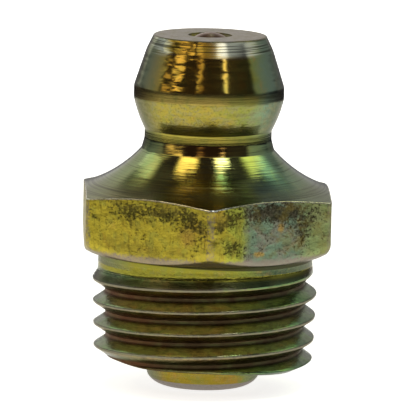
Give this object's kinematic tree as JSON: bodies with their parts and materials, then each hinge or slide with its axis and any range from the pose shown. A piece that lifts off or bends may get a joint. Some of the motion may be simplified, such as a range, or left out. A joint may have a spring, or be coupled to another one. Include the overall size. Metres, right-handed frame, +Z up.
{
  "type": "grease nipple",
  "caption": "Straight hydraulic grease nipple: a coupler head on a flared hexagon, a short right-hand taper thread, and a spring-loaded check ball in the mouth.",
  "frame": {"origin": "centre of the crimped bottom lip, on the surface the nipple stands on", "axes": "+Z up along the grease passage, out of the mouth; one corner of the hexagon points along -Y, so two of its flats face +X and -X"},
  "size_m": [0.011, 0.0124, 0.0159],
  "materials": {
    "chromated_steel": "zinc plated, yellow iridescent chromate, satin",
    "ball_steel": "polished hardened steel",
    "spring_steel": "bright drawn spring wire"
  },
  "bodies": {
    "body": {"nipple_body": "chromated_steel", "ball_spring": "spring_steel"},
    "ball": {"check_ball": "ball_steel"}
  },
  "joints": [
    {"name": "ball_travel", "type": "slide", "parent": "body", "child": "ball", "axis": [0, 0, -1], "range_m": [0, 0.0012], "stiffness_N_per_m": 800, "springref_m": -0.002, "deforming": ["ball_spring"]}
  ]
}
